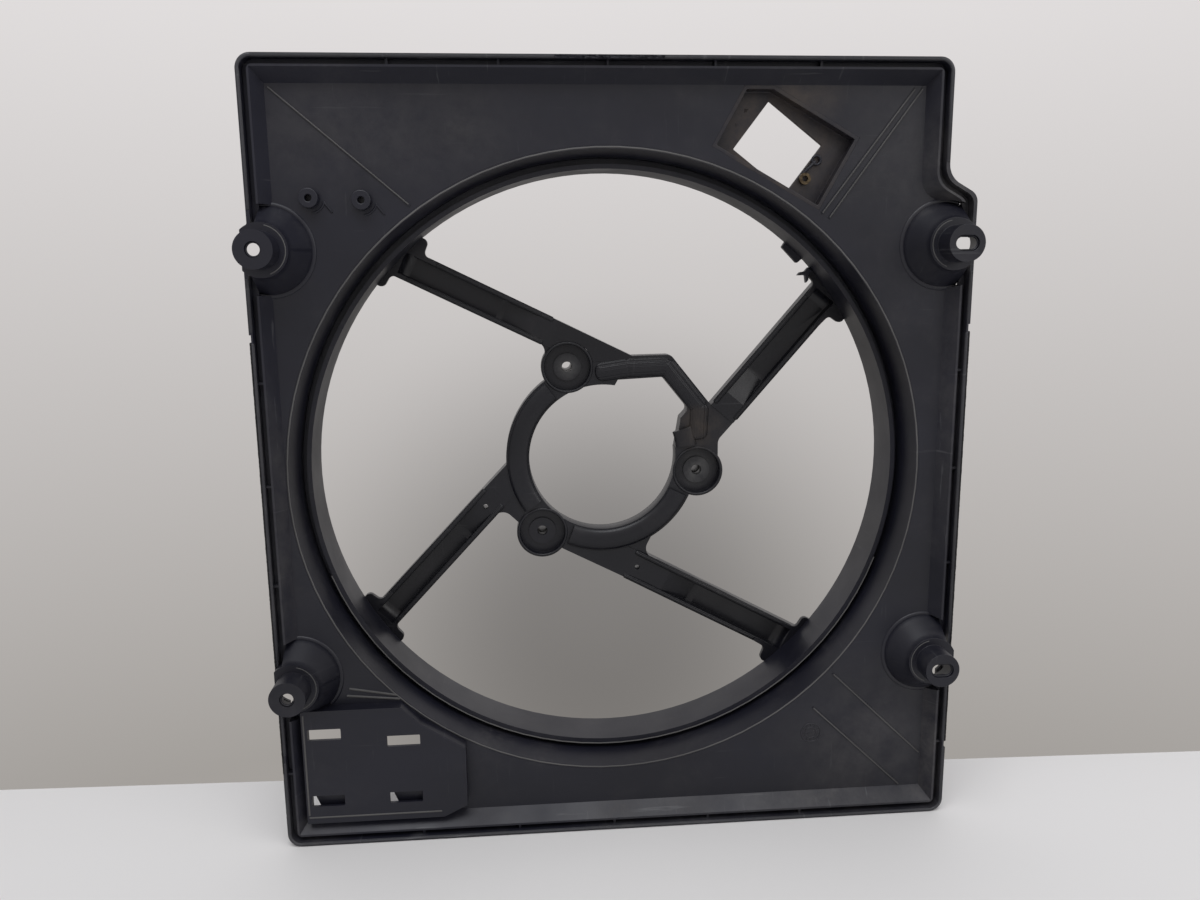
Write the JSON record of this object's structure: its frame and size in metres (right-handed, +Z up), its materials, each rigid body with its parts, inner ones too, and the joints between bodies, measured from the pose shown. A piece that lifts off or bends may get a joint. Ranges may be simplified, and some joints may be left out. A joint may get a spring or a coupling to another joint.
{
  "type": "radiator fan shroud",
  "caption": "Moulded radiator fan shroud: a dished rectangular panel with a round fan duct, four trough-shaped arms and a motor ring with three screw feet.",
  "frame": {"origin": "on the fan axis, in the plane of the seats of the motor's three feet", "axes": "+Y along the fan axis, away from the radiator; +Z up as fitted; -Y is the radiator side"},
  "size_m": [0.499, 0.144, 0.5565],
  "materials": {
    "shroud_plastic": "moulded, slightly satin, dusty",
    "seal_foam": "rough",
    "insert_brass": "dull"
  },
  "bodies": {
    "root": {"arm_lower_left": "shroud_plastic", "arm_lower_right": "shroud_plastic", "arm_upper_left": "shroud_plastic", "arm_upper_right": "shroud_plastic", "cable_hook": "shroud_plastic", "controller_pad": "shroud_plastic", "fan_duct": "shroud_plastic", "motor_ring": "shroud_plastic", "motor_screw_boss_1": "shroud_plastic", "motor_screw_boss_2": "shroud_plastic", "motor_screw_boss_3": "shroud_plastic", "panel_bottom_left": "shroud_plastic", "panel_left_lower": "shroud_plastic", "panel_lower_right": "shroud_plastic", "panel_upper_left": "shroud_plastic", "panel_upper_right": "shroud_plastic", "post_lower_left": "shroud_plastic", "post_lower_right": "shroud_plastic", "post_upper_left": "shroud_plastic", "post_upper_right": "shroud_plastic", "rim_bottom": "shroud_plastic", "rim_left_lower": "shroud_plastic", "rim_left_middle": "shroud_plastic", "rim_left_upper": "shroud_plastic", "rim_right_lower": "shroud_plastic", "rim_right_middle": "shroud_plastic", "rim_right_upper": "shroud_plastic", "rim_top": "shroud_plastic", "seal_strip_left": "seal_foam", "seal_strip_right": "seal_foam", "small_boss_inner": "shroud_plastic", "small_boss_outer": "shroud_plastic", "window_insert": "insert_brass", "window_tray": "shroud_plastic", "wire_clip": "shroud_plastic"}
  },
  "joints": []
}
